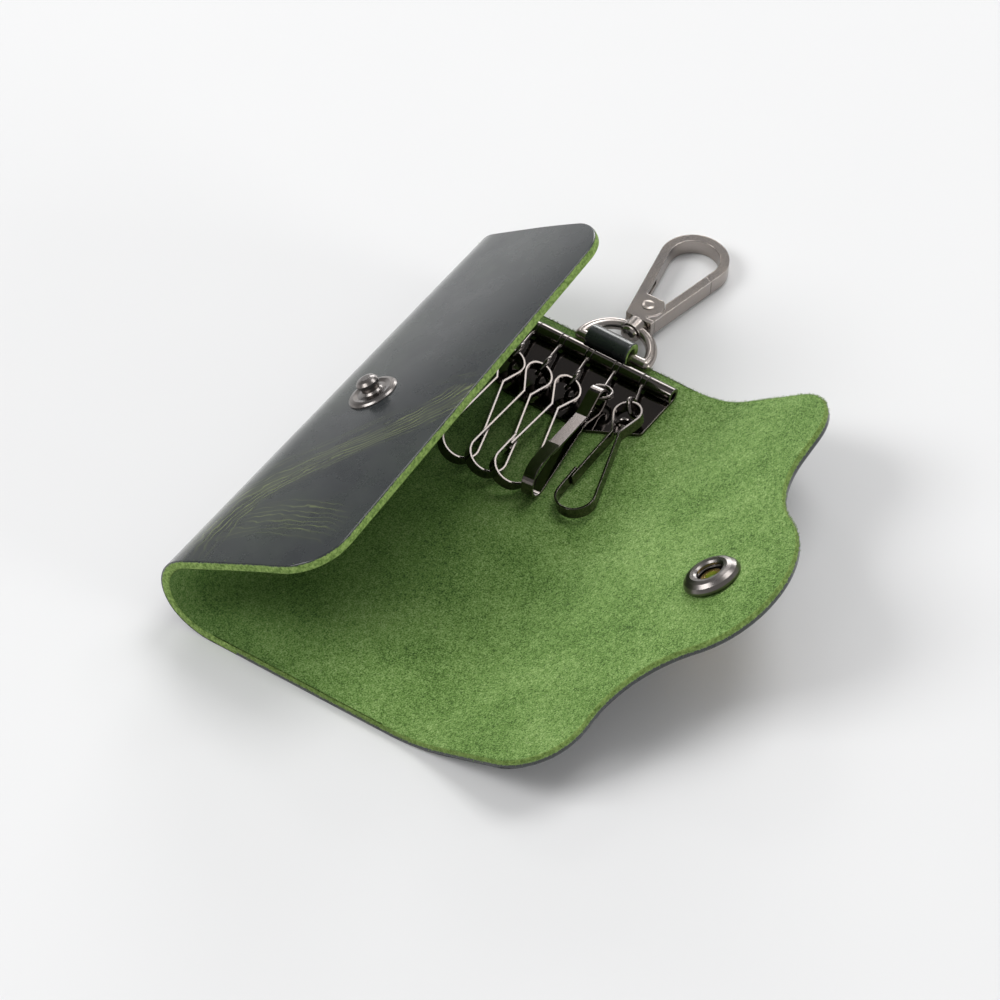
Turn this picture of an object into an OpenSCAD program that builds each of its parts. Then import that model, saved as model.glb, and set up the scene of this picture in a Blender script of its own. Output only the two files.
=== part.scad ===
// Leather key case, lying open on its back panel: one thick leather sheet
// folded over a row of five key hooks, a snap on its flap, and a swivel clasp
// on a strap at the far end.
// X runs along the fold, towards the clasp. Y runs across the case, from the
// flap to the fold. Z is up, and Z = 0 is the surface that the case lies on.

/* [Leather] */
// Length of the leather along the fold
case_len = 108; // [100:1:118]
// Thickness of the leather
leather_t = 2; // [1.6:0.1:2.2]
// Flat back panel, from the origin to the flap's bend
back_front = 20.9; // [18:0.1:24]
// Flat back panel, from the origin to the fold
back_rear = 20; // [19.8:0.1:24]
// Radius of the gentle lift beside the fold, at mid leather
lift_r = 12.6; // [11:0.1:15]
// Radius of the fold, at mid leather
crease_r = 8.8; // [8:0.1:10]
// Width of the flat part of the cover
cover_w = 35; // [33:0.1:37]
// How much narrower each side of the cover is at its free edge
cover_taper = 1.7; // [0:0.1:3]
// Radius of the cover's two free corners
cover_corner_r = 10; // [6:0.5:14]
// Radius of the flap's bend, at mid leather
flap_bend_r = 26; // [22:0.5:30]
// Height of the flap's shoulders above the bend, midway
flap_side_w = 27.2; // [25:0.2:30]
// How much further out the flap's far shoulder is than that
flap_slant = 1.6; // [0:0.1:2.5]
// Radius of the flap's two outer corners
flap_corner_r = 13; // [10:0.5:15]
// Height of the flap's tongue above the bend
tongue_w = 47.3; // [45:0.1:50]
// Radius of the tongue's tip
tongue_r = 20.8; // [18:0.2:22]
// Radius of the hollow between the tongue and a shoulder
shoulder_r = 23; // [16:0.5:24]

/* [Leather angles] */
// Turn of the lift beside the fold
lift_a = 30; // [20:1:32]
// Turn of the fold
crease_a = 117.8; // [116:0.2:126]
// Turn of the flap's bend
flap_a = 29.3; // [24:0.1:33]
// Twist of the cover from midway to each end
cover_twist = 5.1; // [0:0.1:8]
// Twist of the flap from midway to each end
flap_twist = 9.2; // [0:0.1:10]

/* [Snap] */
// X of the snap and of the flap's tongue
snap_x = -0.3; // [-1:0.1:1]
// From the end of the fold to the stud
stud_s = 9.1; // [8:0.1:11]
// From the end of the flap's bend to the socket
socket_s = 30.1; // [28:0.1:33]
// Radius of the stud's flange
stud_flange_r = 5.2; // [4.8:0.1:5.8]
// Thickness of the stud's flange
stud_flange_t = 0.9; // [0.7:0.1:1.2]
// Radius of the stud's head
stud_head_r = 2.35; // [2.1:0.05:2.5]
// Radius of the stud's neck
stud_neck_r = 1.9; // [1.75:0.05:2]
// Height of the whole stud
stud_h = 3.8; // [3.4:0.1:4.2]
// Radius of the stud's post
stud_post_r = 1.3; // [1.1:0.05:1.4]
// Radius of the post's flat back
stud_back_r = 4.7; // [4.2:0.1:5.2]
// Thickness of the post's flat back
stud_back_t = 0.6; // [0.5:0.1:0.8]
// Radius of the socket's ring
socket_r = 5.85; // [5.5:0.05:6.3]
// Height of the socket's ring
socket_h = 2.3; // [2:0.1:2.6]
// Radius of the socket's mouth
socket_mouth_r = 2.65; // [2.55:0.05:2.9]
// Radius of the socket's outer cap
cap_r = 6.2; // [5.6:0.1:6.6]
// Height of the socket's outer cap
cap_h = 1.2; // [0.9:0.1:1.4]
// Outer radius of the cap's hollow post
cap_post_r = 1.7; // [1.5:0.05:1.9]
// Wall of the cap's hollow post
cap_post_wall = 0.4; // [0.3:0.05:0.5]
// Radius of the wire of the socket's spring
snap_wire_r = 0.22; // [0.18:0.02:0.26]

/* [Hook plate] */
// Thickness of the plate
plate_t = 0.7; // [0.5:0.05:0.8]
// Distance between neighbouring hooks
hook_pitch = 6.5; // [6.3:0.1:7]
// Outer radius of the rolled edge
barrel_r = 1.65; // [1.6:0.05:1.8]
// X of the rod in the rolled edge
rod_x = 48.8; // [47.5:0.1:49]
// Y of the middle of the hook row
row_y = 0.5; // [-1:0.1:1]
// Width of each notch for a link
notch_w = 1.5; // [1.4:0.05:1.7]
// Depth of each notch behind the rod
notch_back = 2.2; // [2:0.1:2.6]
// From the rod to the plate's straight lower edge
plate_drop = 17; // [16:0.1:18]
// From the rod to the plate's lower corners
plate_corner_drop = 11.6; // [10:0.1:13]
// Half length of the plate's straight lower edge
plate_foot = 9.6; // [8:0.1:11]
// Radius of the plate's corners
plate_round = 1.2; // [0.8:0.1:1.5]
// Width of the seam where the roll ends
seam_w = 0.25; // [0.2:0.05:0.35]
// From the rod to the rivets
rivet_drop = 11.1; // [10:0.1:11.5]
// Half distance between the rivets
rivet_half = 15.2; // [14.6:0.1:15.8]
// Radius of a rivet's shank
rivet_r = 0.9; // [0.8:0.05:1]
// Radius of a rivet's head
rivet_head_r = 1.5; // [1.3:0.1:1.7]
// Height of a rivet's head
rivet_head_h = 0.45; // [0.35:0.05:0.5]
// Radius of a rivet's cap under the leather
rivet_cap_r = 2.6; // [2.2:0.1:3]
// Thickness of a rivet's cap
rivet_cap_t = 0.7; // [0.6:0.05:0.8]

/* [Links and hooks] */
// Thickness of a link's plate in its notch
link_t = 1.1; // [0.9:0.05:1.2]
// Outer radius of a link's plate
link_eye_r = 1.6; // [1.5:0.05:1.65]
// Radius of the link's wire neck
neck_r = 0.4; // [0.35:0.02:0.44]
// Radius of the bead at the link's bend
bead_r = 0.55; // [0.5:0.05:0.65]
// From the rod to the middle of the link's ring
link_len = 9.6; // [8.6:0.1:9.8]
// From the rod to the link's bend
link_bend = 1.9; // [1.8:0.1:2.2]
// Inner radius of the link's ring
ring_in_r = 1.65; // [1.6:0.05:1.8]
// Radius of the link ring's wire
ring_wire_r = 0.45; // [0.4:0.02:0.5]
// Length of a hook between the middles of its ends
hook_len = 30.4; // [29:0.1:31]
// Radius of a hook's head loop
head_r = 2.8; // [2.6:0.05:3]
// Radius of a hook's key loop
loop_r = 3.95; // [3.8:0.05:4.05]
// From the hook's head to its neck
hook_neck = 8.3; // [7.8:0.1:8.8]
// Half gap between the arms at the neck
neck_half = 0.75; // [0.6:0.05:0.9]
// Width of the hook's spring strip
strip_w = 2.5; // [2.3:0.05:2.6]
// Thickness of the hook's spring strip
strip_t = 0.45; // [0.4:0.02:0.5]
// Offset of the latch arm and of the loop's end from one line
latch_shift = 0.36; // [0.34:0.01:0.4]

/* [Clasp strap] */
// Y of the strap's near edge
strap_near = -6.3; // [-7:0.1:-6]
// Y of the strap's far edge under the plate
strap_far = 5.9; // [5:0.1:6.5]
// Y of the strap's far edge round the ring
strap_loop_far = 3.6; // [3:0.1:3.65]
// Thickness of the strap round the ring
strap_t = 1.3; // [1.1:0.05:1.35]
// Depth of the strap's thinned tail in the back panel
tail_t = 1; // [0.8:0.05:1.1]
// Length of the tail under the plate
tail_len = 17; // [14:0.5:18]

/* [Clasp ring] */
// From the rod to the ring's bar
bar_off = 3.9; // [3.7:0.05:4.1]
// Y of the ring and the clasp
clasp_y = -2; // [-2.1:0.05:-1.9]
// Radius of the ring at mid wire
d_ring_r = 7.7; // [7.3:0.05:7.8]
// Radius of the ring's wire
d_wire_r = 1.2; // [1:0.05:1.25]
// Radius of the ring's boss
boss_r = 2.2; // [2:0.1:2.4]
// Length of the ring's boss
boss_len = 2.7; // [2.5:0.1:3]
// Radius of the swivel post
post_r = 0.95; // [0.85:0.05:1]
// Radius of the swivel post's head
post_head_r = 1.9; // [1.7:0.05:2.1]
// Height of the swivel post's head
post_head_h = 1.2; // [1:0.1:1.4]
// Slope of the ring and the clasp down to the table
clasp_droop = 2.5; // [1.5:0.1:2.7]

/* [Clasp] */
// Thickness of the clasp
clasp_t = 3.4; // [3:0.1:3.4]
// From the clasp's foot to the middle of its round tip
tip_x = 21.4; // [20:0.1:22]
// Sideways place of the round tip's middle
tip_y = 0.5; // [0.3:0.1:0.7]
// Outer radius of the round tip
tip_r = 7.1; // [6.8:0.1:7.4]
// Width of the clasp's arm
arm_w = 1.9; // [1.7:0.1:2.1]
// Half width of the clasp's foot
foot_half = 3; // [2.8:0.1:3.2]
// Length of the clasp's solid foot
foot_len = 7.1; // [6.8:0.1:7.4]
// From the foot to the gate's pin
pin_x = 4.4; // [4.2:0.05:4.6]
// Radius of the gate's pin
pin_r = 0.8; // [0.7:0.05:0.9]
// Radius of the gate pin's heads
pin_head_r = 1.45; // [1.3:0.05:1.6]
// Height of the gate pin's heads
pin_head_h = 0.2; // [0.15:0.05:0.25]
// Radius of the knuckle that the gate turns round
knuckle_r = 3.3; // [3.2:0.05:3.4]
// From the pin to the free end of the gate
gate_reach = 14.7; // [14.4:0.1:15]
// Thickness of the gate's tongue
tongue_t = 1.2; // [1:0.05:1.3]
// Radius of the gate's tongue round the pin
tongue_r0 = 1.9; // [1.7:0.05:2]
// From the foot to the root of the gate
gate_x = 1.2; // [1:0.1:1.6]
// Depth of the leaf spring in the high arm
leaf_depth = 0.55; // [0.45:0.05:0.6]
// Length of the leaf spring beyond the solid foot
leaf_out = 5.5; // [4.5:0.1:6]
// Depth of the swivel post in the foot
post_in = 1.6; // [1.2:0.1:1.8]
// Thickness of the gate's leaf spring
leaf_t = 0.3; // [0.25:0.05:0.35]
// Gap between the gate and the clasp's body
gate_gap = 0.12; // [0.1:0.01:0.16]

/* [Hidden] */
$fn = 64;
// Running clearance of a pin in its hole
run_gap = 0.05;
// Clearance of a piece in its pocket
pocket_gap = 0.1;
// Overrun of every cut
cut = 1;
// Clear way between a hook link's hole and the rod
link_gap = 0.1;
// Clearance where a panel meets its fold
fold_gap = 0.02;

hook_count = 5;
row_len = (hook_count + 1) * hook_pitch;
rod_r = barrel_r - plate_t - run_gap;
rod_z = leather_t + barrel_r;
rod_inset = 1.5 * plate_t;
function gap_y(i) = row_y + ((hook_count - 1) / 2 - i) * hook_pitch;

// Section of the leather in the Y-Z plane, as mid-leather points
cover_head = lift_a + crease_a;
lift_c = [back_rear, leather_t / 2 + lift_r];
crease_c = lift_c + (lift_r - crease_r) * [sin(lift_a), -cos(lift_a)];
crease_end = crease_c + crease_r * [sin(cover_head), -cos(cover_head)];
// The fold's own piece stops where the twist of the cover starts
fold_head = cover_head - cover_twist - 3;
flap_c = [-back_front, leather_t / 2 + flap_bend_r];
flap_start = flap_c + flap_bend_r * [-sin(flap_a), -cos(flap_a)];

// Rest of each hook: the turn and lift of its link, the hook's own turn and
// dip, its roll about its length, and how far it has slid in its link's ring.
// Hooks 1 to 3 lean on each other like shingles, hook 4 stands on edge and
// hook 5 lies flat.
link_yaw = [9, 9, 12, 14, 21];
link_lift = [12, 12, 12, 14.5, 12];
hook_yaw = [9.4, 9.4, 7.2, 4.8, 7.7];
hook_dip = [1, 1, 0.3, -0.5, 3];
hook_roll = [-25.5, -25.5, -25.5, -90, 8];
ring_roll = [-25.5, -25.5, -25.5, -90, 34];
head_shift = [0.7, 0.7, 0.6, 0, -0.6];
latch_side = [1, 1, -1, -1, -1];
wire_len = link_len - link_bend;
function eye_at(i) = let (a = link_bend + wire_len * cos(link_yaw[i]))
    [rod_x - a * cos(link_lift[i]), gap_y(i) - wire_len * sin(link_yaw[i]), rod_z + a * sin(link_lift[i])];

// Ring and clasp, along the local X of the drooping clasp frame
bar_x = rod_x + bar_off;
bar_z = leather_t - tail_t + strap_t + run_gap + d_wire_r;
ring_apex = d_ring_r + d_wire_r;
boss_end = ring_apex + run_gap;
foot_x = boss_end + 2 * gate_gap;
pin_at = [pin_x, tip_y];
// Top of the step that the gate leaves in the foot
gate_top = tip_y - knuckle_r * 0.485;
// Half angle of the gate's tongue, and the gate's full opening
tongue_spread = 25;
gate_open = 22;

grain = [0.16, 0.21, 0.2];
suede = [0.33, 0.5, 0.22];
gunmetal = [0.2, 0.19, 0.19];
clasp_metal = [0.42, 0.39, 0.38];
brass = [0.75, 0.6, 0.3];

// ---- Shared shapes ----

// Turns a Y-Z drawing into a body along X, centred on X = 0
module along_x(len) {
    rotate([90, 0, 90]) linear_extrude(len, center = true) children();
}

// Cylinder along Y, centred
module y_cylinder(r, h) {
    rotate([90, 0, 0]) cylinder(r = r, h = h, center = true);
}

// Cylinder along X, from x = 0
module x_cylinder(r, h) {
    rotate([0, 90, 0]) cylinder(r = r, h = h);
}

// Part of a flat ring between two polar angles less than 180 degrees apart
module ring_sector(r_in, r_out, a0, a1) {
    reach = 2 * r_out;
    mid = (a0 + a1) / 2;
    intersection() {
        difference() {
            circle(r_out);
            circle(r_in);
        }
        polygon([[0, 0], reach * [cos(a0), sin(a0)], reach * [cos(mid), sin(mid)] * 2, reach * [cos(a1), sin(a1)]]);
    }
}

// Places along the case, as shares of its half length, where the sheet's
// section is drawn: it is flat between the two middle ones, where the snap is
stations = [-1.03, -0.55, -0.15, 0.15, 0.55, 1.03];
// Turn of the sheet at a station, as a share of the turn at the far end
function twist_at(k) = abs(k) < 0.2 ? 0 : k;

// Skin through sections of equal count, each drawn in Y-Z at its own X
module skin(sections) {
    n = len(sections[0]);
    last = (len(sections) - 1) * n;
    polyhedron(points = [for (k = [0:len(sections) - 1]) for (p = sections[k]) [stations[k] * case_len / 2, p[0], p[1]]],
        faces = concat([for (k = [1:n - 2]) [0, k + 1, k]], [for (k = [1:n - 2]) [last, last + k, last + k + 1]],
                       [for (b = [0:n:last - 1], k = [0:n - 1]) each let (j = (k + 1) % n) [[b + k, b + j, b + j + n], [b + k, b + j + n, b + k + n]]]));
}

// Frame of the cover: Y runs up the cover, -Z is its grain side
module on_cover() {
    translate([0, crease_end[0], crease_end[1]]) rotate([cover_head, 0, 0]) children();
}

// Frame of the flap: Y runs out along the flap, -Z is its suede side
module on_flap() {
    translate([0, flap_start[0], flap_start[1]]) rotate([180 - flap_a, 0, 0]) children();
}

// Points of an arc
function arc(c, r, a0, a1, n) = [for (k = [0:n]) let (a = a0 + (a1 - a0) * k / n) c + r * [cos(a), sin(a)]];

function unit(v) = v / norm(v);
// Point k of a path, moved sideways by d along the mitre of its two edges
function side_point(p, k, d) = let (
    t0 = unit(p[max(k, 1)] - p[max(k, 1) - 1]),
    t1 = unit(p[min(k, len(p) - 2) + 1] - p[min(k, len(p) - 2)]),
    m = unit(t0 + t1), n = [-m[1], m[0]]) p[k] + n * d / (m * t0);
// Strip of thickness t along a path
module strip(p, t) {
    polygon(concat([for (k = [0:len(p) - 1]) side_point(p, k, t / 2)],
                   [for (k = [len(p) - 1:-1:0]) side_point(p, k, -t / 2)]));
}

// Arc that rounds corner k of a closed outline
function round_corner(p, k, r, n = 6) = let (
    c = p[k], a = unit(p[k - 1] - c), b = unit(p[(k + 1) % len(p)] - c),
    half = acos(a * b) / 2, m = c + unit(a + b) * r / sin(half),
    s = c + a * r / tan(half) - m, e = c + b * r / tan(half) - m,
    a0 = atan2(s[1], s[0]), da = atan2(s[0] * e[1] - s[1] * e[0], s * e))
    [for (j = [0:n]) m + r * [cos(a0 + da * j / n), sin(a0 + da * j / n)]];

// ---- Leather ----

// Thick section along a path of mid points, with the heading at each point
function thick_path(p, heads) = concat(
    [for (k = [0:len(p) - 1]) p[k] + leather_t / 2 * [-sin(heads[k]), cos(heads[k])]],
    [for (k = [len(p) - 1:-1:0]) p[k] - leather_t / 2 * [-sin(heads[k]), cos(heads[k])]]);

function on_crease(a, r = crease_r) = crease_c + r * [sin(a), -cos(a)];
function cover_section(k) = let (a = cover_head - cover_twist * twist_at(k), dir = [cos(a), sin(a)])
    thick_path([on_crease(fold_head) + fold_gap * [cos(fold_head), sin(fold_head)], on_crease(a), on_crease(a) + (cover_w + 2 * cut) * dir], [fold_head, a, a]);
function flap_section(k) = let (a = flap_a + flap_twist * twist_at(k))
    thick_path([flap_start + fold_gap * [-cos(flap_a), sin(flap_a)], flap_start + (tongue_w + cut) * [-cos(a), sin(a)]], [180 - flap_a, 180 - a]);

module back_panel() {
    color(suede) difference() {
        translate([-case_len / 2, -back_front, 0]) cube([case_len, back_front + back_rear, leather_t]);
        at_rivets() {
            translate([0, 0, -cut]) cylinder(r = rivet_r + run_gap, h = leather_t + 2 * cut);
            translate([0, 0, -cut]) cylinder(r = rivet_cap_r + run_gap, h = rivet_cap_t + cut);
        }
        // pocket of the strap's tail, open at the far edge
        translate([rod_x - tail_len, strap_near, leather_t - tail_t])
            cube([case_len, strap_far - strap_near, tail_t + cut]);
    }
}

module cover_fold() {
    color(grain) along_x(case_len) {
        translate(lift_c) ring_sector(lift_r - leather_t / 2, lift_r + leather_t / 2, -90, lift_a - 90);
        translate(crease_c) ring_sector(crease_r - leather_t / 2, crease_r + leather_t / 2, lift_a - 90, fold_head - 90);
    }
}

// Cover seen square on, open towards the fold
module cover_outline() {
    half = case_len / 2;
    p = [[-half, -crease_r], [half, -crease_r], [half - cover_taper, cover_w], [cover_taper - half, cover_w]];
    polygon([p[0], p[1], for (k = [2, 3]) each round_corner(p, k, cover_corner_r, 12)]);
}

module cover_panel() {
    color(grain) difference() {
        intersection() {
            skin([for (k = stations) cover_section(k)]);
            on_cover() linear_extrude(case_len / 4, center = true) cover_outline();
        }
        on_cover() translate([snap_x, stud_s, 0]) cylinder(r = stud_post_r + run_gap, h = leather_t + 2 * cut, center = true);
    }
}

module flap_fold() {
    color(suede) along_x(case_len)
        translate(flap_c) ring_sector(flap_bend_r - leather_t / 2, flap_bend_r + leather_t / 2, -90 - flap_a, -90);
}

// Flap with rounded corners, hollow shoulders and a round tongue. Each side,
// -1 near or 1 far, gives its half of the outline from the tongue to the bend.
function flap_half(side) = let (
    half = case_len / 2,
    high = flap_side_w + side * flap_slant,
    mid = tongue_w - tongue_r,
    sum_r = tongue_r + shoulder_r,
    touch_a = asin((high + shoulder_r - mid) / sum_r),
    points = concat(arc([0, mid], tongue_r, 90, touch_a, 12),
                    arc([sum_r * cos(touch_a), high + shoulder_r], shoulder_r, 180 + touch_a, 270, 10),
                    arc([half - flap_corner_r - side * snap_x, high - flap_corner_r], flap_corner_r, 90, 0, 12),
                    [[half - side * snap_x, -flap_corner_r]]))
    [for (q = points) [snap_x + side * q[0], q[1]]];

module flap_outline() {
    near = flap_half(-1);
    polygon(concat(flap_half(1), [for (k = [len(near) - 1:-1:1]) near[k]]));
}

module flap_panel() {
    color(suede) difference() {
        intersection() {
            skin([for (k = stations) flap_section(k)]);
            on_flap() linear_extrude(case_len / 4, center = true) flap_outline();
        }
        on_flap() translate([snap_x, socket_s, 0]) cylinder(r = cap_post_r + run_gap, h = leather_t + 2 * cut, center = true);
    }
}

// ---- Snap ----

module snap_stud() {
    head_low = stud_h - stud_head_r * 0.6;
    color(gunmetal) on_cover() translate([snap_x, stud_s, -leather_t / 2]) mirror([0, 0, 1]) difference() {
        rotate_extrude() polygon([[0, 0], [stud_flange_r, 0], [stud_flange_r, stud_flange_t * 0.4],
            [stud_flange_r * 0.93, stud_flange_t * 0.8], [stud_flange_r * 0.78, stud_flange_t], [stud_flange_r * 0.6, stud_flange_t * 0.75],
            [stud_neck_r * 1.2, stud_flange_t * 0.95], [stud_neck_r, stud_flange_t * 1.4], [stud_neck_r, head_low * 0.85],
            [stud_head_r, head_low], [stud_head_r, head_low + (stud_h - head_low) * 0.4],
            [stud_head_r * 0.8, head_low + (stud_h - head_low) * 0.8], [stud_head_r * 0.45, stud_h], [0, stud_h]]);
        translate([0, 0, -cut]) cylinder(r = stud_post_r + run_gap, h = stud_h - 2 * stud_back_t + cut);
    }
}

module stud_post() {
    color(gunmetal) on_cover() translate([snap_x, stud_s, leather_t / 2]) {
        rotate_extrude() polygon([[0, 0], [stud_back_r, 0], [stud_back_r, stud_back_t * 0.4], [stud_back_r * 0.85, stud_back_t], [0, stud_back_t]]);
        mirror([0, 0, 1]) cylinder(r = stud_post_r, h = leather_t + stud_h - 3 * stud_back_t);
    }
}

// The socket's cavity sits between its mouth and the cap post's flare
socket_wall = socket_h / 5;
cavity_r = socket_mouth_r + 4 * snap_wire_r;
flare_r = cap_post_r + cap_post_wall;

module snap_socket() {
    color(gunmetal) on_flap() translate([snap_x, socket_s, -leather_t / 2]) mirror([0, 0, 1]) difference() {
        rotate_extrude() polygon([[cap_post_r + run_gap, 0], [socket_r * 0.96, 0], [socket_r, socket_h * 0.12], [socket_r, socket_h * 0.3],
            [socket_r * 0.93, socket_h * 0.62], [socket_r * 0.8, socket_h * 0.88], [socket_r * 0.66, socket_h],
            [socket_mouth_r + socket_wall, socket_h * 0.96], [socket_mouth_r, socket_h * 0.82],
            [socket_mouth_r, socket_h - 2 * socket_wall], [cavity_r, socket_h - 2 * socket_wall], [cavity_r, socket_wall], [cap_post_r + run_gap, socket_wall]]);
    }
}

module socket_spring() {
    color(gunmetal) on_flap() translate([snap_x, socket_s, -leather_t / 2 - socket_wall - (socket_h - 3 * socket_wall) / 2])
        rotate_extrude() translate([cavity_r - 2 * snap_wire_r, 0]) circle(snap_wire_r);
}

module socket_cap() {
    post_h = leather_t + socket_wall + cap_post_wall;
    color(brass) on_flap() translate([snap_x, socket_s, leather_t / 2]) {
        rotate_extrude() polygon([[0, 0], [cap_r, 0], [cap_r, cap_h * 0.25], [cap_r * 0.9, cap_h * 0.6], [cap_r * 0.6, cap_h * 0.92], [0, cap_h]]);
        mirror([0, 0, 1]) rotate_extrude() polygon([[cap_post_r - cap_post_wall, 0], [cap_post_r, 0], [cap_post_r, leather_t + socket_wall + run_gap],
            [flare_r, leather_t + socket_wall + run_gap], [flare_r, post_h], [cap_post_r - cap_post_wall, post_h]]);
    }
}

// ---- Hook plate ----

module at_rivets() {
    for (s = [-1, 1]) translate([rod_x - rivet_drop, row_y + s * rivet_half, 0]) children();
}

module hook_plate() {
    half = row_len / 2;
    outline = [[0, half], [0, -half], [-plate_corner_drop, -half], [-plate_drop, -plate_foot], [-plate_drop, plate_foot], [-plate_corner_drop, half]];
    color(gunmetal) difference() {
        union() {
            translate([rod_x, row_y, leather_t]) linear_extrude(plate_t)
                polygon([outline[0], outline[1], for (k = [2:5]) each round_corner(outline, k, plate_round)]);
            translate([rod_x, row_y, rod_z]) y_cylinder(barrel_r, row_len);
        }
        translate([rod_x, row_y, rod_z]) y_cylinder(barrel_r - plate_t, row_len + 2 * cut);
        // the roll stops short of the leaf
        translate([rod_x - barrel_r - cut, row_y - half - cut, leather_t + plate_t])
            cube([barrel_r + cut, row_len + 2 * cut, seam_w]);
        for (i = [0:hook_count - 1]) translate([rod_x - notch_back, gap_y(i) - notch_w / 2, leather_t - cut])
            cube([notch_back + barrel_r + cut, notch_w, 2 * barrel_r + 2 * cut]);
        at_rivets() translate([0, 0, leather_t - cut]) cylinder(r = rivet_r + run_gap, h = plate_t + 2 * cut);
    }
}

module hook_rod() {
    color(gunmetal) translate([rod_x, row_y, rod_z]) y_cylinder(rod_r, row_len - 2 * rod_inset);
}

module plate_rivets() {
    shank_low = rivet_cap_t;
    color(gunmetal) at_rivets() {
        translate([0, 0, shank_low]) cylinder(r = rivet_r, h = leather_t + plate_t - shank_low);
        translate([0, 0, leather_t + plate_t]) rotate_extrude()
            polygon([[0, 0], [rivet_head_r, 0], [rivet_head_r * 0.9, rivet_head_h * 0.6], [rivet_head_r * 0.55, rivet_head_h], [0, rivet_head_h]]);
    }
}

module rivet_caps() {
    color(gunmetal) at_rivets() rotate_extrude()
        polygon([[0, 0], [rivet_cap_r * 0.9, 0], [rivet_cap_r, rivet_cap_t * 0.3], [rivet_cap_r, rivet_cap_t], [0, rivet_cap_t]]);
}

// ---- Links and hooks ----

module link(i) {
    ring_mid = ring_in_r + ring_wire_r;
    color(gunmetal) translate([rod_x, gap_y(i), rod_z]) rotate([0, -link_lift[i], 180]) difference() {
        union() {
            y_cylinder(link_eye_r, link_t);
            x_cylinder(neck_r, link_bend);
            translate([link_bend, 0, 0]) {
                sphere(bead_r);
                rotate([0, 0, link_yaw[i]]) {
                    x_cylinder(neck_r, wire_len - ring_mid);
                    translate([wire_len, 0, 0]) rotate([ring_roll[i], 0, 0]) rotate([90, 0, 0])
                        rotate_extrude() translate([ring_mid, 0]) circle(ring_wire_r);
                }
            }
        }
        y_cylinder(rod_r + link_gap, link_t + 2 * cut);
    }
}

// Middle line of a hook's strip: the latch arm, the head loop, the other arm
// and the key loop, whose end overlaps the latch arm
head_c = [head_r, 0];
loop_c = [hook_len - loop_r, 0];
neck_at = [hook_neck, neck_half];
head_turn = atan2(neck_half, hook_neck - head_r) + acos(head_r / norm(neck_at - head_c));
loop_turn = atan2(neck_half, hook_neck - loop_c[0]) - acos(loop_r / norm(neck_at - loop_c));
loop_touch = loop_c + loop_r * [cos(loop_turn), sin(loop_turn)];
arm_dir = unit(loop_touch - neck_at);
arm_side = [-arm_dir[1], arm_dir[0]];
// Ends of the latch arm and of the loop, as shares of the arm's length
latch_end_share = 0.8;
loop_end_share = 0.66;
arm_len = norm(loop_touch - neck_at);
hook_path = concat(
    [neck_at + arm_dir * arm_len * latch_end_share - arm_side * latch_shift],
    arc(head_c, head_r, head_turn, 360 - head_turn, 18),
    [[hook_neck, -neck_half]],
    arc(loop_c, loop_r, -loop_turn, loop_turn, 22),
    [neck_at + arm_dir * arm_len * loop_end_share + arm_side * latch_shift]);
latch_path = concat([hook_path[0], neck_at], [for (k = [1:len(hook_path) - 1]) hook_path[k]]);

module hook(i) {
    color(gunmetal) translate(eye_at(i)) rotate([hook_roll[i], hook_dip[i], 180 + hook_yaw[i]])
        translate([head_shift[i], 0, 0]) mirror([0, latch_side[i] < 0 ? 1 : 0, 0])
            linear_extrude(strip_w, center = true) strip(latch_path, strip_t);
}

// ---- Clasp strap, ring and clasp ----

// Frame of the ring: origin in the middle of its bar, X out along the clasp
module on_ring() {
    translate([bar_x, clasp_y, bar_z]) rotate([0, clasp_droop, 0]) children();
}

// Frame of the clasp: origin at its foot
module on_clasp() {
    on_ring() translate([foot_x, 0, 0]) children();
}

// Strap seen from the side: its tail, and its loop round the ring's bar
module strap_side() {
    hole_r = d_wire_r + run_gap;
    out_r = hole_r + strap_t;
    difference() {
        union() {
            translate([rod_x - tail_len, leather_t - tail_t]) square([tail_len + bar_off, tail_t]);
            translate([bar_x, bar_z]) circle(out_r);
            // the upper layer comes down behind the plate's roll
            polygon([[rod_x, leather_t - tail_t], [bar_x, leather_t - tail_t], [bar_x, bar_z + out_r * 0.9],
                     [bar_x - out_r * 0.5, bar_z + out_r * 0.85], [rod_x + barrel_r * 0.8, rod_z]]);
        }
        translate([bar_x, bar_z]) circle(hole_r);
        translate([rod_x, rod_z]) circle(barrel_r + pocket_gap);
        translate([rod_x - tail_len - cut, leather_t]) square([tail_len + cut, barrel_r]);
    }
}

module clasp_strap() {
    end_x = bar_x + d_ring_r;
    color(grain) intersection() {
        translate([0, strap_far, 0]) rotate([90, 0, 0]) linear_extrude(strap_far - strap_near) strap_side();
        linear_extrude(bar_z + d_ring_r) polygon([[rod_x - tail_len, strap_near], [rod_x - tail_len, strap_far],
            [rod_x + barrel_r * 0.5, strap_far], [bar_x - d_wire_r, strap_loop_far], [end_x, strap_loop_far], [end_x, strap_near]]);
    }
}

module clasp_ring() {
    color(clasp_metal) on_ring() difference() {
        union() {
            rotate([0, 0, -90]) rotate_extrude(angle = 180) translate([d_ring_r, 0]) circle(d_wire_r);
            y_cylinder(d_wire_r, 2 * d_ring_r);
            for (s = [-1, 1]) translate([0, s * d_ring_r, 0]) sphere(d_wire_r);
            translate([boss_end - boss_len, 0, 0]) x_cylinder(boss_r, boss_len);
        }
        translate([boss_end - boss_len - cut, 0, 0]) x_cylinder(post_r + run_gap, boss_len + 2 * cut);
    }
}

module swivel_post() {
    head_x = boss_end - boss_len - pocket_gap;
    color(gunmetal) on_ring() {
        translate([head_x, 0, 0]) rotate([0, -90, 0]) rotate_extrude()
            polygon([[0, 0], [post_head_r, 0], [post_head_r, post_head_h * 0.35], [post_head_r * 0.8, post_head_h * 0.75], [post_head_r * 0.4, post_head_h], [0, post_head_h]]);
        translate([head_x, 0, 0]) x_cylinder(post_r, foot_x - head_x + post_in);
    }
}

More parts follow.
